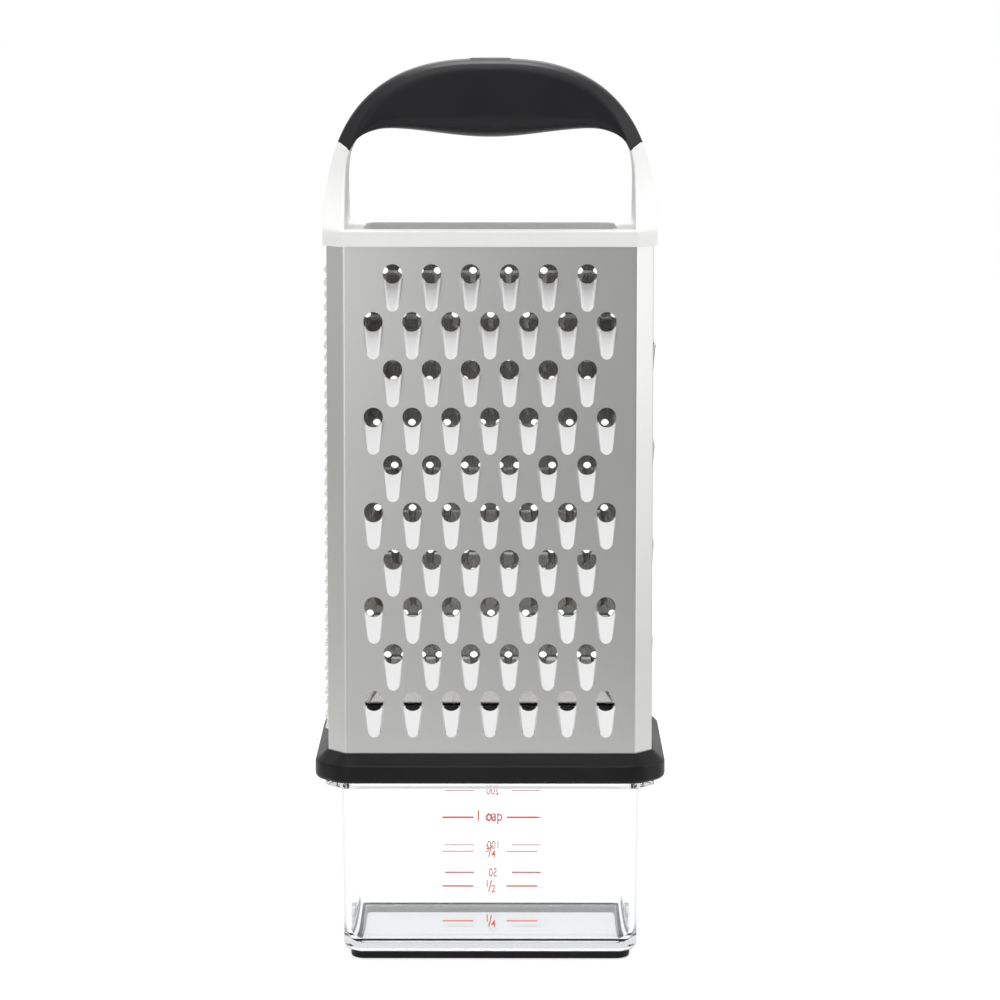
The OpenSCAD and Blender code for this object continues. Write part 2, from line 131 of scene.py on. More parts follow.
def finish_shading(piece, sharp, flat_way):
    """Smooth shading up to the angle sharp. Faces square to flat_way stay flat.

    Where no such way is given, the large faces lead the shading of what they meet."""
    mesh = piece.data
    mesh.update()
    smooth = np.ones(len(mesh.polygons), bool)
    if flat_way is not None:
        normals = np.empty(len(mesh.polygons) * 3, np.float32)
        mesh.polygons.foreach_get("normal", normals)
        smooth = np.abs(normals.reshape(-1, 3) @ np.array(flat_way, np.float32)) < SQUARE_ON
    mesh.set_sharp_from_angle(angle=math.radians(sharp))
    mesh.polygons.foreach_set("use_smooth", smooth)
    if flat_way is None:
        even = piece.modifiers.new("even", "WEIGHTED_NORMAL")
        even.keep_sharp = True
        bake_modifiers(piece)


def thicken(piece, wall):
    """Gives an open sheet its thickness, inward from the side that it was drawn on."""
    solid = piece.modifiers.new("wall", "SOLIDIFY")
    solid.thickness = wall * MM
    solid.offset = -1
    solid.use_even_offset = True
    solid.material_offset = 2  # the inside takes the looks two places further on
    bake_modifiers(piece)


def place(piece, body, node):
    """Says which body a piece moves with, and hides the CAD node that it stands for."""
    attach(piece, body)
    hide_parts(node)
    return piece


def rounded(corners, radii, steps):
    """A closed convex outline with each corner rounded: steps + 1 points a corner."""
    line = []
    n = len(corners)
    for i, corner in enumerate(corners):
        here = np.array(corner, float)
        back = np.array(corners[i - 1], float) - here
        ahead = np.array(corners[(i + 1) % n], float) - here
        la, lb = np.linalg.norm(back), np.linalg.norm(ahead)
        back, ahead = back / la, ahead / lb
        half = math.acos(max(-1.0, min(1.0, float(back @ ahead)))) / 2
        reach = min(radii[i] / math.tan(half), MOST_OF_SIDE * min(la, lb))
        r = reach * math.tan(half)
        if reach < TINY:
            line += [tuple(here)] * (steps + 1)
            continue
        centre = here + (back + ahead) / np.linalg.norm(back + ahead) * r / math.sin(half)
        start = here + back * reach - centre
        end = here + ahead * reach - centre
        turn = math.pi - 2 * half
        for k in range(steps + 1):
            f = k / steps
            p = (start * math.sin((1 - f) * turn) + end * math.sin(f * turn)) / math.sin(turn)
            line.append(tuple(centre + p))
    return line


def plan(half_w, half_d, leg, r, steps=4):
    """An upright box's outline with 45 degree corners of that leg, and radius r at their ends."""
    corners = []
    for sx, sy in ((1, 1), (-1, 1), (-1, -1), (1, -1)):
        pair = [(sx * half_w, sy * (half_d - leg)), (sx * (half_w - leg), sy * half_d)]
        corners += pair if sx * sy > 0 else pair[::-1]
    return rounded(corners, [r] * 8, steps)


def round_plan(half_w, half_d, r, steps=4):
    """A rounded rectangle, point for point with plan()."""
    return plan(half_w, half_d, r * LEG_SHARE, r, steps)


def body_plan(z, grow, r, steps=4):
    """The steel body's outline at height z, moved out by grow."""
    return plan(HALF_W + grow, half_depth(z) + grow, CORNER_LEG + grow * LEG_SHARE, r, steps)


def at(line, z):
    """An outline laid at height z."""
    return [(x, y, z) for x, y in line]


def six_volumes(p, faces):
    """Six times the volume inside the faces, which is negative where they are inside out."""
    fans = [(f[0], f[i], f[i + 1]) for f in faces for i in range(1, len(f) - 1)]
    return sum(float(p[a] @ np.cross(p[b], p[c])) for a, b, c in fans)


def loft(rings, closed=False):
    """Points and faces through rings of equal length. closed runs the last ring into the first."""
    n = len(rings[0])
    points = [p for ring in rings for p in ring]
    faces = []
    last = len(rings) if closed else len(rings) - 1
    for k in range(last):
        a, b = k * n, (k + 1) % len(rings) * n
        for i in range(n):
            j = (i + 1) % n
            faces.append((a + i, a + j, b + j, b + i))
    if not closed:
        faces.append(tuple(range(n))[::-1])
        faces.append(tuple((len(rings) - 1) * n + i for i in range(n)))
    if six_volumes(np.array(points), faces) < 0:
        faces = [f[::-1] for f in faces]
    return points, faces


def joined(*parts):
    """Several (points, faces) as one."""
    points, faces = [], []
    for some_points, some_faces in parts:
        first = len(points)
        points += list(some_points)
        faces += [tuple(v + first for v in f) for f in some_faces]
    return points, faces


# Materials

NOISE_LOW, NOISE_HIGH = 0.3, 0.7
TINT_LOW, TINT_HIGH = 0.35, 0.65
BRUSH_SCALE, CLOUD_SCALE, CLOUD_SHADE = 2600, 28, 0.97
PATCH_SCALE, SPECK_SCALE, FLOW_SCALE = 60, 1500, 18
SHEEN_ROUGH = 0.3
INK_ROUGH = (0.4, 0.55)
CLEAR_ROUGH, CLEAR_IOR, CLEAR_COLOUR = (0.012, 0.03), 1.4, (0.985, 0.992, 0.995, 1)
# What light keeps when it goes straight on through the clear plastic.
CLEAR_PASS = (0.96, 0.965, 0.975, 1)
# Light that has turned this often goes straight on there, so that edges don't go black.
DEEP_RAY = 3.5


def new_look(name):
    """A material with its node tree and its Principled shader."""
    look = bpy.data.materials.new(name)
    look.use_nodes = True
    tree = look.node_tree
    return look, tree, tree.nodes["Principled BSDF"]


def noise(tree, scale, stretch=(1, 1, 1), detail=3.0):
    """Noise in the object's own space. scale is in features a metre."""
    where = tree.nodes.new("ShaderNodeTexCoord")
    mapping = tree.nodes.new("ShaderNodeMapping")
    mapping.inputs["Scale"].default_value = stretch
    field = tree.nodes.new("ShaderNodeTexNoise")
    field.inputs["Scale"].default_value = scale
    field.inputs["Detail"].default_value = detail
    tree.links.new(where.outputs["Object"], mapping.inputs["Vector"])
    tree.links.new(mapping.outputs["Vector"], field.inputs["Vector"])
    return field.outputs["Fac"]


def ramp(tree, source, low, high):
    """A value that follows source from low to high."""
    node = tree.nodes.new("ShaderNodeMapRange")
    node.inputs["From Min"].default_value = NOISE_LOW
    node.inputs["From Max"].default_value = NOISE_HIGH
    node.inputs["To Min"].default_value = low
    node.inputs["To Max"].default_value = high
    tree.links.new(source, node.inputs["Value"])
    return node.outputs["Result"]


def tint(tree, source, dark, light):
    """A colour that follows source from dark to light."""
    node = tree.nodes.new("ShaderNodeValToRGB")
    node.color_ramp.elements[0].position = TINT_LOW
    node.color_ramp.elements[0].color = (*dark, 1)
    node.color_ramp.elements[1].position = TINT_HIGH
    node.color_ramp.elements[1].color = (*light, 1)
    tree.links.new(source, node.inputs["Fac"])
    return node.outputs["Color"]


def math_node(tree, operation, first, second=None):
    """A value made of one or two others: each is a socket or a number."""
    node = tree.nodes.new("ShaderNodeMath")
    node.operation = operation
    for i, value in enumerate((first, second)):
        if isinstance(value, (int, float)):
            node.inputs[i].default_value = value
        elif value is not None:
            tree.links.new(value, node.inputs[i])
    return node.outputs["Value"]


def blend(tree, source, start, end, before, after):
    """A value that goes softly from before to after while source goes from start to end."""
    node = tree.nodes.new("ShaderNodeMapRange")
    node.interpolation_type = "SMOOTHSTEP"
    node.inputs["From Min"].default_value = start
    node.inputs["From Max"].default_value = end
    node.inputs["To Min"].default_value = before
    node.inputs["To Max"].default_value = after
    tree.links.new(source, node.inputs["Value"])
    return node.outputs["Result"]


def bump(tree, source, strength, depth, shader):
    """Raises the shaded surface where source is high, by depth in millimetres."""
    node = tree.nodes.new("ShaderNodeBump")
    node.inputs["Strength"].default_value = strength
    node.inputs["Distance"].default_value = depth * MM
    tree.links.new(source, node.inputs["Height"])
    tree.links.new(node.outputs["Normal"], shader.inputs["Normal"])


def steel(name, rough, light, stretch=(1, 1, 0.04)):
    """Stainless sheet with a fine brushed grain along the panel's height."""
    look, tree, shader = new_look(name)
    grain = noise(tree, BRUSH_SCALE, stretch)
    cloud = noise(tree, CLOUD_SCALE)
    tree.links.new(ramp(tree, grain, rough[0], rough[1]), shader.inputs["Roughness"])
    tree.links.new(tint(tree, cloud, [c * CLOUD_SHADE for c in light], light), shader.inputs["Base Color"])
    shader.inputs["Metallic"].default_value = 1.0
    return look


def moulded(name, dark, light, rough, grain_scale, grain_depth, strength=0.3, shine=0.5, sheen=0):
    """A moulded plastic or rubber with a fine surface grain."""
    look, tree, shader = new_look(name)
    cloud = noise(tree, PATCH_SCALE)
    grain = noise(tree, grain_scale, detail=2.0)
    tree.links.new(tint(tree, cloud, dark, light), shader.inputs["Base Color"])
    tree.links.new(ramp(tree, cloud, rough[0], rough[1]), shader.inputs["Roughness"])
    bump(tree, grain, strength, grain_depth, shader)
    shader.inputs["Specular IOR Level"].default_value = shine
    if sheen:
        shader.inputs["Sheen Weight"].default_value = sheen
        shader.inputs["Sheen Roughness"].default_value = SHEEN_ROUGH
    return look


def clear_plastic():
    """Clear plastic that lets light straight through for shadows and on paths that have turned often."""
    look, tree, shader = new_look("clear_styrene")
    flow = noise(tree, FLOW_SCALE)
    tree.links.new(ramp(tree, flow, *CLEAR_ROUGH), shader.inputs["Roughness"])
    shader.inputs["Base Color"].default_value = CLEAR_COLOUR
    shader.inputs["Transmission Weight"].default_value = 1.0
    shader.inputs["IOR"].default_value = CLEAR_IOR
    bump(tree, flow, strength=0.02, depth=0.05, shader=shader)
    rays = tree.nodes.new("ShaderNodeLightPath")
    clear = tree.nodes.new("ShaderNodeBsdfTransparent")
    clear.inputs["Color"].default_value = CLEAR_PASS
    deep = math_node(tree, "GREATER_THAN", rays.outputs["Ray Depth"], DEEP_RAY)
    mix = tree.nodes.new("ShaderNodeMixShader")
    tree.links.new(math_node(tree, "MAXIMUM", deep, rays.outputs["Is Shadow Ray"]), mix.inputs["Fac"])
    tree.links.new(shader.outputs["BSDF"], mix.inputs[1])
    tree.links.new(clear.outputs["BSDF"], mix.inputs[2])
    tree.links.new(mix.outputs["Shader"], tree.nodes["Material Output"].inputs["Surface"])
    return look


def red_ink(name, dark, light):
    """Printed ink, slightly uneven."""
    look, tree, shader = new_look(name)
    speck = noise(tree, SPECK_SCALE)
    tree.links.new(tint(tree, speck, dark, light), shader.inputs["Base Color"])
    tree.links.new(ramp(tree, speck, *INK_ROUGH), shader.inputs["Roughness"])
    return look


PANEL_STEEL = steel("brushed_sheet", rough=(0.285, 0.30), light=(0.74, 0.74, 0.73))
# The same steel with a lower roughness for the polish, and a lighter colour that paints the blades
# brighter.
BLADE_STEEL_PAINTED_LIGHTER = steel("polished_blades_painted_lighter", rough=(0.15, 0.20), light=(0.90, 0.90, 0.90), stretch=(1, 1, 0.2))
# The same steel made darker: painted shade for the inside of the body.
INNER_STEEL_PAINTED_SHADE = steel("inner_sheet_painted_shade", rough=(0.22, 0.28), light=(0.50, 0.49, 0.47))
# Of a sheet's outside, its blades, and the inside of each. The blades' lighter steel is partly a painted
# highlight, and the inside's darker steel is painted shade.
SHEET_LOOKS = [PANEL_STEEL, BLADE_STEEL_PAINTED_LIGHTER, INNER_STEEL_PAINTED_SHADE, INNER_STEEL_PAINTED_SHADE]
WHITE = moulded(
    "white_moulding", dark=(0.91, 0.91, 0.90), light=(0.93, 0.93, 0.92), rough=(0.32, 0.40),
    grain_scale=900, grain_depth=0.02, strength=0.15,
)
GRIP_BLACK = moulded(
    "soft_black_grip", dark=(0.004, 0.004, 0.006), light=(0.007, 0.007, 0.009), rough=(0.40, 0.48),
    grain_scale=2200, grain_depth=0.04, shine=0.35, sheen=0.4,
)
RING_BLACK = moulded(
    "soft_black_ring", dark=(0.005, 0.005, 0.006), light=(0.008, 0.008, 0.009), rough=(0.32, 0.40),
    grain_scale=2000, grain_depth=0.02, shine=0.22,
)
FRAME_BLACK = moulded(
    "black_moulding", dark=(0.006, 0.006, 0.006), light=(0.009, 0.009, 0.010), rough=(0.40, 0.50),
    grain_scale=1500, grain_depth=0.02, shine=0.3,
)
CLEAR = clear_plastic()
RED = red_ink("red_ink", dark=(0.80, 0.15, 0.13), light=(0.88, 0.19, 0.17))
PALE_RED = red_ink("pale_red_ink", dark=(0.88, 0.36, 0.36), light=(0.94, 0.42, 0.42))

# Steel sheets

# A blade's shoulder and length are measured down from the middle of its hole. A grid's pitch_s and top_gap
# run down the sloping sheet, from the cap's underside.
COARSE = dict(hole_r=3.13, half_w=3.535, length=12.1, height=2.2, shoulder=1.5, arc=36, rows=9)
MEDIUM = dict(hole_r=1.3, half_w=1.85, length=4.6, height=1.1, shoulder=0.65, arc=14, rows=4)
COARSE_GRID = dict(rows=10, cols=7, pitch_x=12.53, pitch_s=15.36, top_gap=8.7)
MEDIUM_GRID = dict(rows=21, cols=15, pitch_x=5.94, pitch_s=7.43, top_gap=4.6)
TONGUE_TAPER, TONGUE_POWER, RIDGE_POWER, ROOF_POWER = 0.45, 10, 1.15, 8
CUT_GRAIN = 1e-5

BEND_R, BEVEL_LEAD = 1.0, 0.2
# Points of the seam's turn into the tab: in from the side sheet's face, and short of the bevel's end.
SEAM_TURN = ((0.5, 0.5), (0.28, 0.28), (0.06, 0.02))
TAB_RISE, TAB_L = 0.25, 4
SIDE_GAP, SPIKED_WALL = 0.08, 0.4


def tongue(t):
    """Half width of a blade's outline at share t of its length: tapered, with a round tip."""
    return (1 - TONGUE_TAPER * t) * math.sqrt(max(1 - t ** TONGUE_POWER, 0))


def strip_faces(rows, cols):
    """Quads between rows + 1 lines of cols + 1 points."""
    n = cols + 1
    corners = [j * n + k for j in range(rows) for k in range(cols)]
    return [(a, a + n, a + n + 1, a + 1) for a in corners]


def blade(hole_r, half_w, length, height, shoulder, arc, rows):
    """A blade below a hole at the origin: the opening's outline, and the raised patch with its faces."""
    foot, edge = [], []
    for k in range(arc + 1):
        phi = math.pi * k / arc
        x = -half_w * math.cos(phi)
        t = math.sin(phi)
        foot.append((math.copysign(half_w * tongue(t), x), -shoulder - (length - shoulder) * t))
        drop = math.sqrt(hole_r * hole_r - x * x) if abs(x) < hole_r else 0
        edge.append((x, -max(drop, shoulder)))
    meet = math.asin(shoulder / hole_r)
    over_top = [
        (hole_r * math.cos(a), hole_r * math.sin(a))
        for a in np.linspace(-meet, math.pi + meet, arc)
    ]
    points = []
    for j in range(rows + 1):
        f = j / rows
        for (x0, y0), (x1, y1) in zip(edge, foot):
            x, y = x0 + (x1 - x0) * f, y0 + (y1 - y0) * f
            down = min((-y - shoulder) / (length - shoulder), 1)
            across = min(abs(x) / max(half_w * tongue(down), TINY), 1)
            points.append((x, y, height * (1 - down ** RIDGE_POWER) * (1 - across ** ROOF_POWER)))
    return over_top + foot, points, strip_faces(rows, arc)


def cut_panel(outline, openings):
    """Flat triangles between an outline and its openings, anticlockwise."""
    points, edges = [], []
    for line in [outline] + openings:
        first = len(points)
        points += [Vector(p) for p in line]
        edges += [(first + i, first + (i + 1) % len(line)) for i in range(len(line))]
    verts, _, faces = delaunay_2d_cdt(points, edges, [], 0, CUT_GRAIN)[:3]
    v = np.array([tuple(p) for p in verts])
    f = np.array(faces)
    centres = v[f].mean(1)
    keep = np.ones(len(f), bool)
    for line in openings:
        q = np.array(line)
        near = np.where(((centres > q.min(0)) & (centres < q.max(0))).all(1))[0]
        inside = np.zeros(len(near), bool)
        x, y = centres[near, 0], centres[near, 1]
        for (x0, y0), (x1, y1) in zip(q, np.roll(q, -1, 0)):
            if y0 != y1:
                inside ^= ((y0 > y) != (y1 > y)) & (x < (x1 - x0) * (y - y0) / (y1 - y0) + x0)
        keep[near[inside]] = False
    f = f[keep]
    a, b, c = v[f[:, 0]], v[f[:, 1]], v[f[:, 2]]
    area = (b - a)[:, 0] * (c - a)[:, 1] - (b - a)[:, 1] * (c - a)[:, 0]
    f[area < 0] = f[area < 0][:, ::-1]
    return [(x, y, 0.0) for x, y in v], [tuple(int(i) for i in t) for t in f]


def staggered(rows, cols, pitch_x, pitch_s, top_gap):
    """Places down a panel, which starts with a row of cols - 1."""
    found = []
    for row in range(rows):
        n = cols - 1 if row % 2 == 0 else cols
        found += [((i - (n - 1) / 2) * pitch_x, -top_gap - row * pitch_s) for i in range(n)]
    return found


def on_lean(points):
    """From a panel's own x, up and out to the leaning front."""
    c, s = math.cos(LEAN), math.sin(LEAN)
    y0 = -BODY_TOP_D / 2
    return [(x, y0 + up * s - out * c, CAP_Z + up * c + out * s) for x, up, out in points]


def bent_side(steps=5):
    """The front sheet beyond its flat panel: bend, bevel and the tab behind the side sheet."""
    turn = math.pi / 4
    flat_end = HALF_W - CORNER_LEG - BEND_R * math.tan(turn / 2)
    line = [
        (flat_end + BEND_R * math.sin(a), BEND_R * (1 - math.cos(a)))
        for a in np.linspace(0, turn, steps + 1)
    ]
    bend_x, bend_y = line[-1]
    line.append((bend_x + BEVEL_LEAD, bend_y + BEVEL_LEAD))
    line += [(HALF_W - x, CORNER_LEG - y) for x, y in SEAM_TURN]
    line += [(HALF_W - SHEET_T - SHEET_CLEAR, CORNER_LEG + y) for y in (TAB_RISE, TAB_L)]
    return flat_end, line


def bent_strip(line, side):
    """That side line from the sheet's foot to its top, on the right for side 1 and on the left for -1."""
    n = len(line)
    points = [(side * x, -half_depth(z) + y, z) for z in (SHEET_LOW, SHEET_HIGH) for x, y in line]
    quads = [(i, i + 1, n + i + 1, n + i) for i in range(n - 1)]
    return points, quads if side > 0 else [q[::-1] for q in quads]


def wide_sheet(name, node, size, places, quarters):
    """One wide panel with its blades, bends, bevels and seam tabs."""
    flat_end, line = bent_side()
    c = math.cos(LEAN)
    low, high = (SHEET_LOW - CAP_Z) / c, (SHEET_HIGH - CAP_Z) / c
    outline, patch, patch_faces = blade(**size)
    openings = [[(x + px, y + py) for x, y in outline] for px, py in places]
    corners = [(-flat_end, low), (flat_end, low), (flat_end, high), (-flat_end, high)]
    flat = cut_panel(corners, openings)
    parts = [(on_lean(flat[0]), flat[1])]
    for px, py in places:
        parts.append((on_lean([(x + px, y + py, out) for x, y, out in patch]), patch_faces))
    bends = [bent_strip(line, 1), bent_strip(line, -1)]
    points, faces = joined(*parts, *bends)
    plain, raised = len(flat[1]), len(places) * len(patch_faces)
    looks = [0] * plain + [1] * raised + [0] * (len(faces) - plain - raised)
    flat_way = turned([(0, -math.cos(LEAN), math.sin(LEAN))], quarters)[0]
    sheet = make(name, turned(points, quarters), faces, SHEET_LOOKS, looks, wall=SHEET_T, flat_way=flat_way)
    return place(sheet, GRATER, node)


def side_outline():
    """The flat side sheets, which taper between the front and rear sheets' bevels."""
    low = half_depth(SHEET_LOW) - CORNER_LEG - SIDE_GAP
    high = half_depth(SHEET_HIGH) - CORNER_LEG - SIDE_GAP
    return [(-low, SHEET_LOW), (low, SHEET_LOW), (high, SHEET_HIGH), (-high, SHEET_HIGH)]


def on_side(points):
    """From a side sheet's own x, up and out to a sheet that faces the front."""
    return [(x, -HALF_W - out, up) for x, up, out in points]


def side_sheet(name, node, outline, patch, patch_faces, places, wall, quarters):
    """A flat side sheet with the same opening and raised patch at each of its places."""
    flat = cut_panel(side_outline(), [[(x + px, y + pz) for x, y in outline] for px, pz in places])
    parts = [(on_side(flat[0]), flat[1])]
    for px, pz in places:
        parts.append((on_side([(x + px, y + pz, out) for x, y, out in patch]), patch_faces))
    points, faces = joined(*parts)
    looks = [0] * len(flat[1]) + [1] * (len(faces) - len(flat[1]))
    points = turned(points, quarters)
    sheet = make(name, points, faces, SHEET_LOOKS, looks, wall=wall, flat_way=(1, 0, 0))
    return place(sheet, GRATER, node)


FINE_PITCH_X, FINE_PITCH_Z, FINE_MARGIN = 6.0, 4.05, 5.0
# Radius, height and height of the torn teeth of each ring of a spike.
BURST_RINGS = ((1.2, 0.0, 0.0), (0.98, 0.42, 0.0), (0.80, 0.82, 0.05), (0.62, 1.12, 0.48))
BURST_TEETH = 4


def fine_places():
    """Places of the spikes: staggered rows, as many as fit between the sheet's sloping edges."""
    found = []
    z, row = RING_TOP + FINE_MARGIN, 0
    while z < CAP_Z - FINE_MARGIN:
        half = half_depth(z) - CORNER_LEG - FINE_MARGIN
        shift = 0 if row % 2 == 0 else FINE_PITCH_X / 2
        n = math.floor((half - shift) / FINE_PITCH_X)
        first = -n if row % 2 == 0 else -n - 1
        found += [(i * FINE_PITCH_X + shift, z) for i in range(first, n + 1)]
        z += FINE_PITCH_Z
        row += 1
    return found


def burst(points_round=16):
    """A hole punched outward: torn teeth round it, as rings from the sheet up."""
    rings = []
    for r, low, wave in BURST_RINGS:
        ring = []
        for k in range(points_round):
            a = 2 * math.pi * k / points_round
            ring.append((r * math.cos(a), r * math.sin(a), low + wave * math.cos(BURST_TEETH * a)))
        rings.append(ring)
    faces = []
    n = points_round
    for j in range(len(rings) - 1):
        for k in range(n):
            m = (k + 1) % n
            faces.append((j * n + k, j * n + m, (j + 1) * n + m, (j + 1) * n + k))
    return [(x, y) for x, y, _ in rings[0]], [p for ring in rings for p in ring], faces


def fine_sheet():
    """The left side: small spikes."""
    return side_sheet("fine_spiked_sheet", "left_fine_sheet", *burst(), fine_places(), SPIKED_WALL, -1)


# Slicing edges: how many, their width, the slot over each, its ramp's length and how far it stands out.
SLICE_COUNT, SLICE_W, SLICE_SLOT, SLICE_RAMP, SLICE_H = 4, 29.0, 4.0, 14.0, 1.2
SLICE_CORNER, SLICE_ROUNDNESS, SLICE_SIDE_POWER = 2.0, 0.35, 14


def slice_slot(steps=6):
    """The upper edge of the slot over a slicing edge, anticlockwise: its two rounded corners."""
    half = SLICE_W / 2
    corners = [(half, 0), (half, SLICE_SLOT), (-half, SLICE_SLOT), (-half, 0)]
    line = rounded(corners, [0, SLICE_CORNER, SLICE_CORNER, 0], steps)
    return line[steps + 1:-steps - 1]


def slice_patch(cols=28, rows=8):
    """A slicing edge at the origin: the opening's outline and the ramp that rises to it."""
    half = SLICE_W / 2
    foot = []
    for k in range(cols + 1):
        phi = math.pi * k / cols
        c, s = math.cos(phi), math.sin(phi)
        x = -half * math.copysign(abs(c) ** SLICE_ROUNDNESS, c)
        foot.append((x, -SLICE_RAMP * s ** SLICE_ROUNDNESS if s > TINY else 0.0))
    points = []
    for j in range(rows + 1):
        f = j / rows
        for x, y in [(x, y * f) for x, y in foot]:
            side = max(1 - abs(x / half) ** SLICE_SIDE_POWER, 0)
            points.append((x, y, 0.0 if j == rows else SLICE_H * side * (1 + y / SLICE_RAMP)))
    return slice_slot() + foot, points, strip_faces(rows, cols)


def slicing_sheet():
    """The right side: wide slicing edges."""
    pitch = BODY_H / (SLICE_COUNT + 1)
    places = [(0.0, RING_TOP + (i + 1) * pitch) for i in range(SLICE_COUNT)]
    return side_sheet("slicing_sheet", "right_slicing_sheet", *slice_patch(), places, SHEET_T, 1)


# Cap and handle

CAP_OUT, MOUTH_W, MOUTH_D, MOUTH_R = 1.2, 82.0, 31.0, 4.0
COLLAR_H, COLLAR_WALL = 4.0, 1.4
BEHIND_TABS = 1.1
# The bow's outside and the gap under it are squared-off arches: how high above the cap, and how square.
BOW_RISE, GAP_RISE, BOW_SQUARE, GAP_SQUARE = 54.0, 32.6, 2.65, 7.0
POST_T, POST_TOP_D, GRIP_D, GRIP_START = 7.2, 21.0, 25.0, 27.5
PALM_SWELL, SWELL_SHARE, SWELL_POWER, POST_FACET = 3.6, 0.78, 1.5, 0.87
FACET_MID, FACET_END = 2.5, 5.0
# A post ends at a small angle beyond the grip's edge, drawn in so that the grip covers it.
POST_FIRST, POST_RINGS = math.radians(2), 26
POST_TUCK, POST_STEP, POST_OVER, POST_PROUD = 0.5, 0.002, 0.06, 0.02
POST_UNDER_R, POST_EDGE_R, POST_NARROWING = 0.5, 1.0, 1.6
FACET_SPARE = 0.3
# Radii of the grip's lower and upper edges, at its ends and in the middle.
UNDER_END, UNDER_MID, EDGE_END, EDGE_MID = 0.8, 8.8, 1.6, 6.0
GRIP_PROUD, GRIP_RINGS = 0.15, 97
# Radius of each ring of the round badge, and its height above the bow.
BADGE_RINGS = ((6.4, -2), (6.7, 0.15), (6.5, 0.3))
ROUND_SLACK = 0.01
CAP_R, COLLAR_R = 0.8, 0.5
# Roundings of the cap's edges: the whole, and how far in their middle lies.
CAP_FOOT, CAP_FOOT_MID = 0.35, 0.1
CAP_EDGE, CAP_EDGE_MID = 0.6, 0.18
MOUTH_EDGE, MOUTH_EDGE_MID = 0.7, 0.2

BOW_HALF, BOW_HIGH = HALF_W + CAP_OUT, CAP_H + BOW_RISE
GAP_HALF, GAP_HIGH = BOW_HALF - POST_T, CAP_H + GAP_RISE


def arch(a, half, high, square):
    """Distance along the ray at angle a to a squared-off arch."""
    return ((abs(math.cos(a)) / half) ** square + (abs(math.sin(a)) / high) ** square) ** (-1 / square)


def bow_angle(h):
    """The angle at which the bow's outside is at height h above the steel."""
    return math.atan2(h, BOW_HALF * (1 - (h / BOW_HIGH) ** BOW_SQUARE) ** (1 / BOW_SQUARE))


GRIP_ANGLE = bow_angle(CAP_H + GRIP_START)


def bow_out(a):
    """The outside of the bow along the ray at angle a."""
    return arch(a, BOW_HALF, BOW_HIGH, BOW_SQUARE)


def bow_in(a):
    """The inside of the bow, which the palm's swell brings closer in the middle."""
    x = GAP_HIGH * math.cos(a) / max(math.sin(a), TINY) / (GAP_HALF * SWELL_SHARE)
    swell = PALM_SWELL * (1 - x * x) ** SWELL_POWER if abs(x) < 1 else 0
    return arch(a, GAP_HALF, GAP_HIGH, GAP_SQUARE) - swell


def grip_share(a):
    """How far the grip has swollen at angle a: 0 at its ends and 1 in the middle."""
    return max(math.sin(math.pi * (a - GRIP_ANGLE) / (math.pi - 2 * GRIP_ANGLE)), 0)


def post_half(a):
    """Half depth of a post: as deep as the cap at its foot, and narrow under the grip."""
    base = BODY_TOP_D / 2 + CAP_OUT
    rise = bow_out(a) * math.sin(a) - CAP_H
    f = min(max(rise / GRIP_START, 0), 1)
    return POST_TOP_D / 2 + (base - POST_TOP_D / 2) * (1 - f) ** POST_NARROWING


def bow_section(a, r_in, r_out, half, leg, r_under, r_edge, steps=5):
    """Section across the ray at angle a with 45 degree facets of that leg along its outer edges."""
    leg = min(leg, r_out - r_in - FACET_SPARE)
    corners = [
        (r_in, -half),
        (r_out - leg, -half),
        (r_out, leg - half),
        (r_out, half - leg),
        (r_out - leg, half),
        (r_in, half),
    ]
    radii = [r_under, r_edge, r_edge, r_edge, r_edge, r_under]
    line = rounded(corners, radii, steps)
    return [(r * math.cos(a), v, CAP_Z + r * math.sin(a)) for r, v in line]


def post(side):
    """One post, which tucks in under the end of the grip."""
    rings = []
    shown = [(a, 0.0) for a in [0.0] + list(np.linspace(POST_FIRST, GRIP_ANGLE, POST_RINGS))]
    hidden = [(GRIP_ANGLE + POST_STEP, POST_TUCK), (GRIP_ANGLE + POST_OVER, POST_TUCK)]
    for a, tuck in shown + hidden:
        r_in, r_out = bow_in(a) + tuck, bow_out(a) + POST_PROUD - tuck
        half, leg = post_half(a) + POST_PROUD - tuck, (r_out - r_in) * POST_FACET
        ring = bow_section(a, r_in, r_out, half, leg, POST_UNDER_R, POST_EDGE_R)
        rings.append([(side * x, y, z) for x, y, z in ring])
    return loft(rings)


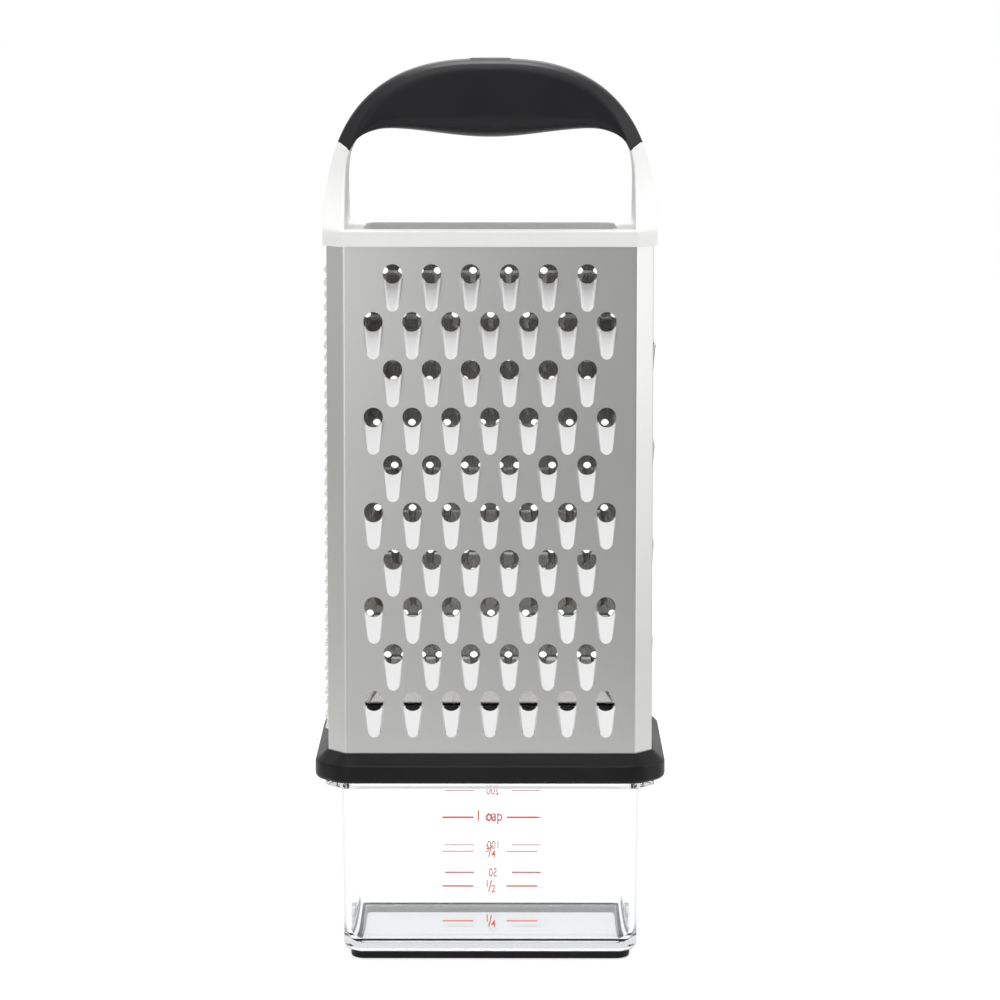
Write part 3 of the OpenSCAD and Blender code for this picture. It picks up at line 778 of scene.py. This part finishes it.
def cap():
    """The cap over the steel: its outside, its mouth, and the collar that grips the sheets from inside."""
    inner = -BEHIND_TABS - COLLAR_WALL
    low = CAP_Z - COLLAR_H

    def mouth_ring(grow, z):
        return at(round_plan(MOUTH_W / 2 + grow, MOUTH_D / 2 + grow, MOUTH_R + grow), z)

    def top_ring(grow, z):
        return at(body_plan(CAP_Z, CAP_OUT + grow, CAP_R), z)

    def sheet_ring(grow, z):
        return at(body_plan(z, grow, COLLAR_R), z)

    rings = [
        top_ring(-CAP_FOOT, CAP_Z),
        top_ring(-CAP_FOOT_MID, CAP_Z + CAP_FOOT_MID),
        top_ring(0, CAP_Z + CAP_FOOT),
        top_ring(0, CAP_TOP - CAP_EDGE),
        top_ring(-CAP_EDGE_MID, CAP_TOP - CAP_EDGE_MID),
        top_ring(-CAP_EDGE, CAP_TOP),
        mouth_ring(MOUTH_EDGE, CAP_TOP),
        mouth_ring(MOUTH_EDGE_MID, CAP_TOP - MOUTH_EDGE_MID),
        mouth_ring(0, CAP_TOP - MOUTH_EDGE),
        mouth_ring(0, SHEET_HIGH),
        sheet_ring(inner, SHEET_HIGH),
        sheet_ring(inner, low),
        sheet_ring(-BEHIND_TABS, low),
        sheet_ring(-BEHIND_TABS, SHEET_HIGH),
        sheet_ring(SHEET_CLEAR, SHEET_HIGH),
        sheet_ring(SHEET_CLEAR, CAP_Z),
    ]
    return loft(rings, closed=True)


def white_frame():
    """The white moulding: the cap with its two posts."""
    points, faces = joined(cap(), post(1), post(-1))
    piece = make("top_frame_moulding", points, faces, [WHITE], sharp=38)
    return place(piece, GRATER, "handle_frame")


def grip():
    """The soft grip over the top of the bow, with a plain round badge on it."""
    rings = []
    for a in np.linspace(GRIP_ANGLE, math.pi - GRIP_ANGLE, GRIP_RINGS):
        g = grip_share(a)
        half = (POST_TOP_D + (GRIP_D - POST_TOP_D) * math.sqrt(g)) / 2 + GRIP_PROUD
        leg = FACET_END + (FACET_MID - FACET_END) * g
        r_under = UNDER_END + (UNDER_MID - UNDER_END) * g
        r_edge = EDGE_END + (EDGE_MID - EDGE_END) * g
        rings.append(bow_section(a, bow_in(a), bow_out(a), half, leg, r_under, r_edge))
    top = CAP_Z + BOW_HIGH
    badge = [at(round_plan(r, r, r - ROUND_SLACK, 8), top + up) for r, up in BADGE_RINGS]
    points, faces = joined(loft(rings), loft(badge))
    piece = make("soft_grip", points, faces, [GRIP_BLACK], sharp=50)
    return place(piece, GRATER, "handle_grip")


# Foot ring

RING_OUT, RING_FACE_H, RING_LIP, FRAME_LEDGE = 4.4, 5.7, 0.5, 0.6
RING_FOOT_R, RING_EDGE_R, RING_TOP_R, RING_MOUTH_R = 1.6, 1.2, 0.2, 0.1
RING_CORNER_R, RING_CORNER_GROWTH = 1.0, 2.1


def foot_ring():
    """The soft ring round the steel's foot: upright below, and sloping in to the steel above."""
    inside, ledge = SHEET_CLEAR, FRAME_LEDGE + SHEET_CLEAR
    corners = [
        (ledge, SEAT_Z),
        (RING_OUT, SEAT_Z),
        (RING_OUT, SEAT_Z + RING_FACE_H),
        (RING_LIP + SHEET_CLEAR, RING_TOP),
        (inside, RING_TOP),
        (inside, SHEET_LOW),
        (ledge, SHEET_LOW),
    ]
    profile = rounded(corners, [0, RING_FOOT_R, RING_EDGE_R, RING_TOP_R, RING_MOUTH_R, 0, 0], 4)
    rings = []
    for grow, z in profile:
        r = RING_CORNER_R + max(grow, 0) * RING_CORNER_GROWTH
        rings.append(at(body_plan(z, grow, r, 8), z))
    points, faces = loft(rings, closed=True)
    piece = make("soft_foot_ring", points, faces, [RING_BLACK], sharp=40)
    return place(piece, GRATER, "foot_ring")


# Container

LIFT_GAP, SLIDE_GAP = 0.2, 0.4
FLANGE_OUT, FLANGE_T, INSET_X, INSET_Y = 1.0, 2.2, 4.7, 7.1
WALL_T, DRAFT, RIM_H, RIM_T, FRAME_WALL = 2.0, 0.6, 4.6, 1.8, 1.6
WALL_R, FLOOR_R, FLOOR_T, BASE_R = 7.0, 5.0, 2.1, 2.0
FOOT_H, FOOT_W, FOOT_INSET, FOOT_EDGE, FOOT_EDGE_MID = 2.8, 2.5, 2.3, 0.9, 0.26
EDGE_R, LEAST_R, FLANGE_R, RIM_R, FLANGE_FILLET = 0.4, 0.6, 2.0, 2.0, 0.8
SEAT_LOW = SEAT_Z - LIFT_GAP
FLANGE_HALF_W = HALF_W + FLANGE_OUT
FLANGE_HALF_D = half_depth(SEAT_Z) + FLANGE_OUT
FLANGE_LEG = CORNER_LEG + FLANGE_OUT * LEG_SHARE
CORNER_STEPS = 6


def wall_half(z, inset):
    """Half width and half depth of the container's outer wall at height z, moved in by inset."""
    e = inset + DRAFT * (SEAT_LOW - z) / (SEAT_LOW - FOOT_H)
    return FLANGE_HALF_W - INSET_X - e, FLANGE_HALF_D - INSET_Y - e


def wall_ring(z, inset, z_at=None):
    """The wall's outline at height z moved in by inset, laid at z_at where that is given."""
    half_w, half_d = wall_half(z, inset)
    line = round_plan(half_w, half_d, max(WALL_R - inset, LEAST_R), CORNER_STEPS)
    return at(line, z if z_at is None else z_at)


def fillet(z, inset, r, steps=7):
    """Rings of a fillet of radius r from the floor at z up to the wall."""
    rings = []
    for i in range(steps + 1):
        a = math.pi / 2 * i / steps
        rings.append(wall_ring(z + r * (1 - math.cos(a)), inset + r * (1 - math.sin(a))))
    return rings


def container():
    """The clear container, as rings up its outside, round its flange and rim, and down its inside."""
    low = SEAT_LOW - FLANGE_T
    rim_top = SEAT_Z + RIM_H
    rim_out = -BEHIND_TABS - FRAME_WALL - SLIDE_GAP
    rim_in = rim_out - RIM_T

    def flange(grow, z):
        leg = FLANGE_LEG + grow * LEG_SHARE
        return at(plan(FLANGE_HALF_W + grow, FLANGE_HALF_D + grow, leg, FLANGE_R, CORNER_STEPS), z)

    def rim(grow, z):
        return at(body_plan(rim_top, grow, RIM_R, CORNER_STEPS), z)

    rings = fillet(FOOT_H, 0, BASE_R) + [
        wall_ring(low - FLANGE_FILLET, 0),
        wall_ring(low, -FLANGE_FILLET, low),
        flange(-EDGE_R, low),
        flange(0, low + EDGE_R),
        flange(0, SEAT_LOW - EDGE_R),
        flange(-EDGE_R, SEAT_LOW),
        rim(rim_out, SEAT_LOW),
        rim(rim_out, rim_top - EDGE_R),
        rim(rim_out - EDGE_R, rim_top),
        rim(rim_in + EDGE_R, rim_top),
        rim(rim_in, rim_top - EDGE_R),
        rim(rim_in, SEAT_LOW),
        wall_ring(low, WALL_T),
    ]
    rings += fillet(FOOT_H + FLOOR_T, WALL_T, FLOOR_R)[::-1]
    points, faces = loft(rings)
    piece = make("clear_container", points, faces, [CLEAR], sharp=50)
    return place(piece, CATCHER, "container")


def container_foot():
    """The non-slip band under the container."""
    lower = FOOT_INSET + FOOT_EDGE
    rings = [
        wall_ring(FOOT_H, lower, 0),
        wall_ring(FOOT_H, FOOT_INSET + FOOT_EDGE_MID, FOOT_EDGE_MID),
        wall_ring(FOOT_H, FOOT_INSET, FOOT_EDGE),
        wall_ring(FOOT_H, FOOT_INSET),
        wall_ring(FOOT_H, FOOT_INSET + FOOT_W),
        wall_ring(FOOT_H, FOOT_INSET + FOOT_W, 0),
    ]
    points, faces = loft(rings, closed=True)
    piece = make("non_slip_foot", points, faces, [RING_BLACK], sharp=40)
    return place(piece, CATCHER, "container_foot")


# Scale prints

# Height, label and line thickness of each mark.
CUP_MARKS = ((49.0, "1 cup", 0.62), (37.5, "3/4", 0.36), (25.7, "1/2", 0.55), (13.8, "1/4", 0.4))
ML_MARKS = ((43.9, "200", 0.36), (34.3, "150", 0.6), (24.5, "100", 0.36), (14.6, "50", 0.6))
CUP_LINES = ((-15.7, -5.5), (5.4, 15.6))
ML_LINES = ((-17.2, -7.2), (5.9, 16.0))
INK_T, INK_LIFT, INK_SPREAD = 0.04, 0.02, 0.012
# Sizes of words and of a fraction's stroke for figures of size 1, and where its figures stand.
WORD_SIZE, STROKE_SIZE, FIGURE_RISE, ABOVE_ASIDE, BELOW_ASIDE = 1.4, 1.5, 0.25, -0.27, 0.30


def glyphs(text, size, squeeze):
    """Flat letters of one string, centred, as points across, up and out."""
    curve = bpy.data.curves.new("label", "FONT")
    curve.body = text
    curve.size = size
    curve.offset = INK_SPREAD * size
    curve.extrude = INK_T / 2
    curve.resolution_u = 4
    holder = bpy.data.objects.new("label", curve)
    bpy.context.scene.collection.objects.link(holder)
    graph = bpy.context.evaluated_depsgraph_get()
    mesh = bpy.data.meshes.new_from_object(holder.evaluated_get(graph))
    co = np.array([v.co for v in mesh.vertices])
    faces = [tuple(p.vertices) for p in mesh.polygons]
    bpy.data.objects.remove(holder)
    bpy.data.curves.remove(curve)
    bpy.data.meshes.remove(mesh)
    middle = (co.max(0) + co.min(0)) / 2
    return [((x - middle[0]) * squeeze, y - middle[1], out) for x, y, out in co], faces


def label_parts(label, height):
    """A label's strings with their places: a fraction is a small figure each side of a stroke."""
    if "/" not in label:
        return [(label, 0, 0, height * WORD_SIZE)]
    above, below = label.split("/")
    rise = FIGURE_RISE * height
    return [
        (above, ABOVE_ASIDE * height, rise, height),
        ("/", 0, 0, height * STROKE_SIZE),
        (below, BELOW_ASIDE * height, -rise, height),
    ]


def wall_point(x, z, out):
    """A point on the container's front, at x and height z, and out from it."""
    return x, -wall_half(z, 0)[1] - INK_LIFT - out, z


def mark_line(x0, x1, z, thick):
    """A line of a scale, as a thin box."""
    points = [
        wall_point(x, z + dz, out)
        for dz in (-thick / 2, thick / 2)
        for out in (0, INK_T)
        for x in (x0, x1)
    ]
    return points, [(2, 3, 7, 6), (0, 2, 6, 4), (1, 5, 7, 3), (0, 1, 3, 2), (4, 6, 7, 5), (0, 4, 5, 1)]


def print_marks(name, look, marks, lines, centre, height, squeeze, quarters):
    """Red lines and numbers on a container wall, made as thin films on its outside."""
    films = []
    for z, label, thick in marks:
        films += [mark_line(x0, x1, z, thick) for x0, x1 in lines]
        for text, aside, rise, size in label_parts(label, height):
            flat, faces = glyphs(text, size, squeeze)
            points = [wall_point(centre + aside + x, z + rise + up, INK_T / 2 + out) for x, up, out in flat]
            films.append((points, faces))
    points, faces = joined(*films)
    piece = make(name, turned(points, quarters), faces, [look], sharp=30)
    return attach(piece, CATCHER)


# Build

wide_sheet("coarse_sheet", "front_coarse_sheet", COARSE, staggered(**COARSE_GRID), quarters=0)
wide_sheet("medium_sheet", "back_medium_sheet", MEDIUM, staggered(**MEDIUM_GRID), quarters=2)
fine_sheet()
slicing_sheet()
white_frame()
grip()
foot_ring()
container()
container_foot()
print_marks("cup_scale", RED, CUP_MARKS, CUP_LINES, centre=0.0, height=3.6, squeeze=0.8, quarters=0)
print_marks(
    "millilitre_scale", PALE_RED, ML_MARKS, ML_LINES, centre=-0.6, height=3.1, squeeze=0.7, quarters=2
)

inner_frame = frame["nodes"]["base_frame"]
inner_frame.data.materials.clear()
inner_frame.data.materials.append(FRAME_BLACK)

# Stage
# Its sizes are metres.

CAMERA_SPOT, CAMERA_TILT, CAMERA_SWING = (0.00628, -1.08681, 0.32540), 80.815, 0.164
CAMERA_LENS, CAMERA_SENSOR, CAMERA_REACH = 119.466, 36.0, 20.0

# The studio is bright all round, a little less on the left, and dim behind the camera and to its right.
ROOM_LIGHT, FRONT_LIGHT, LEFT_LIGHT = 1.05, 0.38, 0.85
DIM_SIDE, LEFT_SIDE = (0.22, -0.94, -0.26), (-1.0, 0.0, 0.0)
DIM_START, LEFT_START, SIDE_FULL = 0.35, 0.6, 0.95

# The floor glows faintly under and behind the part, and the glow fades out to the front and the sides. What
# the camera sees of the floor, also through the container, has the brightness of a white backdrop.
FLOOR_FRONT, FLOOR_REACH = -0.62, 12.0
FLOOR_DARK, FLOOR_LIGHT, FLOOR_PATCHES = (0.46, 0.46, 0.46), (0.48, 0.48, 0.48), 3
FLOOR_ROUGH, FLOOR_SHINE = 0.8, 0.1
FLOOR_GLOW, GLOW_START, GLOW_FULL = 0.30, -0.62, -0.50
GLOW_SIDE, GLOW_END = 0.35, 0.6
BACKING = 0.62


def seen_rays(tree):
    """1 for what the camera sees, also through clear plastic, and 0 for light on the object."""
    rays = tree.nodes.new("ShaderNodeLightPath")
    return math_node(tree, "MAXIMUM", rays.outputs["Is Camera Ray"], rays.outputs["Is Transmission Ray"])


def floor_look():
    """The pale floor with its glow."""
    look, tree, shader = new_look("pale_floor")
    colour = tint(tree, noise(tree, FLOOR_PATCHES), FLOOR_DARK, FLOOR_LIGHT)
    tree.links.new(colour, shader.inputs["Base Color"])
    shader.inputs["Roughness"].default_value = FLOOR_ROUGH
    shader.inputs["Specular IOR Level"].default_value = FLOOR_SHINE
    where = tree.nodes.new("ShaderNodeTexCoord")
    parts = tree.nodes.new("ShaderNodeSeparateXYZ")
    tree.links.new(where.outputs["Object"], parts.inputs["Vector"])
    side = math_node(tree, "ABSOLUTE", parts.outputs["X"])
    ahead = blend(tree, parts.outputs["Y"], GLOW_START, GLOW_FULL, 0.0, FLOOR_GLOW)
    beside = blend(tree, side, GLOW_SIDE, GLOW_END, 1.0, 0.0)
    glow = math_node(tree, "MULTIPLY", ahead, beside)
    backing = math_node(tree, "MULTIPLY", seen_rays(tree), BACKING)
    tree.links.new(math_node(tree, "MAXIMUM", backing, glow), shader.inputs["Emission Strength"])
    shader.inputs["Emission Color"].default_value = (1, 1, 1, 1)
    return look


def floor():
    """A plain floor under the part and behind it."""
    left, right, front, back = -FLOOR_REACH, FLOOR_REACH, FLOOR_FRONT, FLOOR_REACH
    mesh = bpy.data.meshes.new("floor")
    corners = [(left, front, 0), (right, front, 0), (right, back, 0), (left, back, 0)]
    mesh.from_pydata(corners, [], [(0, 1, 2, 3)])
    mesh.materials.append(floor_look())
    plane = bpy.data.objects.new("floor", mesh)
    bpy.context.scene.collection.objects.link(plane)


def area_light(name, spot, aim, size, power):
    """A soft rectangular lamp at a spot, turned to what it aims at."""
    data = bpy.data.lights.new(name, "AREA")
    data.shape = "RECTANGLE"
    data.size, data.size_y = size
    data.energy = power
    lamp = bpy.data.objects.new(name, data)
    lamp.location = spot
    lamp.rotation_euler = (Vector(aim) - Vector(spot)).to_track_quat("-Z", "Y").to_euler()
    bpy.context.scene.collection.objects.link(lamp)
    return lamp


def towards(tree, side, start, away, near):
    """A value that goes from away to near as the direction turns towards a side."""
    where = tree.nodes.new("ShaderNodeTexCoord")
    facing = tree.nodes.new("ShaderNodeVectorMath")
    facing.operation = "DOT_PRODUCT"
    facing.inputs[1].default_value = side
    tree.links.new(where.outputs["Generated"], facing.inputs[0])
    return blend(tree, facing.outputs["Value"], start, SIDE_FULL, away, near)


def world():
    """Soft light from all round, in front of a white backdrop."""
    scene = bpy.context.scene
    scene.world = bpy.data.worlds.new("studio")
    scene.world.use_nodes = True
    tree = scene.world.node_tree
    tree.nodes.clear()
    white = tree.nodes.new("ShaderNodeBackground")
    white.inputs["Color"].default_value = (1, 1, 1, 1)
    white.inputs["Strength"].default_value = 1.0
    soft = tree.nodes.new("ShaderNodeBackground")
    front = towards(tree, DIM_SIDE, DIM_START, ROOM_LIGHT, FRONT_LIGHT)
    left = towards(tree, LEFT_SIDE, LEFT_START, 0.0, LEFT_LIGHT - ROOM_LIGHT)
    tree.links.new(math_node(tree, "ADD", front, left), soft.inputs["Strength"])
    mix = tree.nodes.new("ShaderNodeMixShader")
    out = tree.nodes.new("ShaderNodeOutputWorld")
    tree.links.new(seen_rays(tree), mix.inputs["Fac"])
    tree.links.new(soft.outputs["Background"], mix.inputs[1])
    tree.links.new(white.outputs["Background"], mix.inputs[2])
    tree.links.new(mix.outputs["Shader"], out.inputs["Surface"])


def camera():
    """The photograph's viewing angle."""
    data = bpy.data.cameras.new("camera")
    data.sensor_width = CAMERA_SENSOR
    data.lens = CAMERA_LENS
    data.clip_end = CAMERA_REACH
    holder = bpy.data.objects.new("camera", data)
    holder.location = CAMERA_SPOT
    holder.rotation_euler = (math.radians(CAMERA_TILT), 0, math.radians(CAMERA_SWING))
    bpy.context.scene.collection.objects.link(holder)
    bpy.context.scene.camera = holder


floor()
world()
camera()
area_light("overhead", spot=(0.0, 0.25, 1.1), aim=(0, 0, 0.25), size=(0.5, 0.35), power=6)
area_light("right", spot=(1.1, -0.2, 0.45), aim=(0, 0, 0.15), size=(0.8, 1.0), power=2.1)
area_light("front_left", spot=(-0.45, -1.4, 0.32), aim=(0, 0, 0.2), size=(0.6, 0.4), power=1.15)
area_light("front_top", spot=(-0.2, -1.0, 1.6), aim=(0, 0, 0.15), size=(1.4, 0.8), power=7)
bpy.context.scene.view_settings.view_transform = "Standard"
